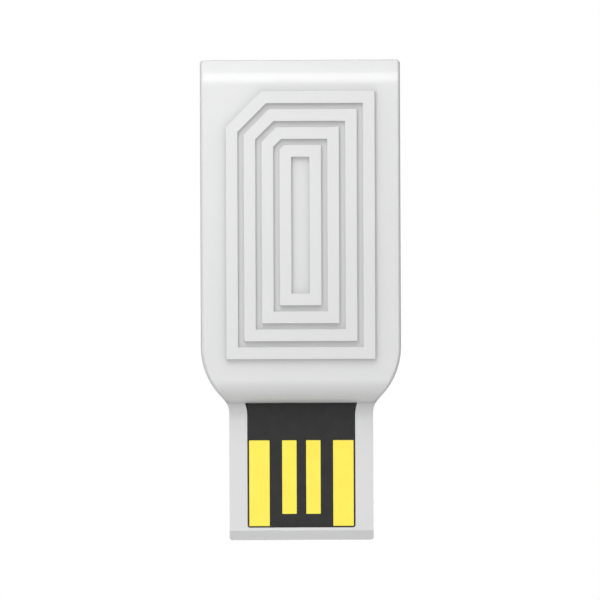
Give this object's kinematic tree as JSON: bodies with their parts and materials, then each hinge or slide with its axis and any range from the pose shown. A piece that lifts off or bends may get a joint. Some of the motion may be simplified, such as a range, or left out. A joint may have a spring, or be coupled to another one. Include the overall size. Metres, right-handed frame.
{
  "type": "usb wifi adapter",
  "caption": "Slim USB wireless network adapter: flat white casing with a raised concentric rectangular relief and a bare half-thickness USB-A plug with gold contact pads.",
  "frame": {"origin": "centre of the bottom of the bounding box, with the adapter lying on its back", "axes": "+Y from the plug's tip towards the far end, +Z out of the front face with the relief, +X to the right as the front face is seen with the plug pointing down"},
  "size_m": [0.0166, 0.04, 0.0045],
  "materials": {
    "housing_plastic": "satin moulded white",
    "solder_mask": "black solder mask",
    "contact_gold": "gold-plated, satin",
    "copper_foil": "etched copper under mask",
    "shield_steel": "tin-plated sheet",
    "tinned_leads": "matte tin",
    "chip_resin": "moulded epoxy",
    "base_ceramic": "matte",
    "capacitor_ceramic": "matte",
    "ferrite_ceramic": "matte"
  },
  "bodies": {
    "root": {"rear_shell": "housing_plastic", "front_cover": "housing_plastic", "circuit_board": "solder_mask", "contact_power": "contact_gold", "contact_data_minus": "contact_gold", "contact_data_plus": "contact_gold", "contact_ground": "contact_gold", "printed_antenna": "copper_foil", "shield_frame": "shield_steel", "shield_cover": "shield_steel", "radio_chip": "chip_resin", "radio_chip_terminals": "tinned_leads", "memory_chip": "chip_resin", "memory_chip_leads": "tinned_leads", "voltage_regulator": "chip_resin", "voltage_regulator_leads": "tinned_leads", "surge_protector": "chip_resin", "surge_protector_leads": "tinned_leads", "crystal_base": "base_ceramic", "crystal_lid": "shield_steel", "power_inductor": "ferrite_ceramic", "power_inductor_terminals": "tinned_leads", "rf_filter": "base_ceramic", "rf_filter_terminals": "tinned_leads", "capacitor_bodies": "capacitor_ceramic", "capacitor_terminals": "tinned_leads", "resistor_bodies": "chip_resin", "resistor_terminals": "tinned_leads", "ferrite_bead": "ferrite_ceramic", "ferrite_bead_terminals": "tinned_leads"}
  },
  "joints": []
}
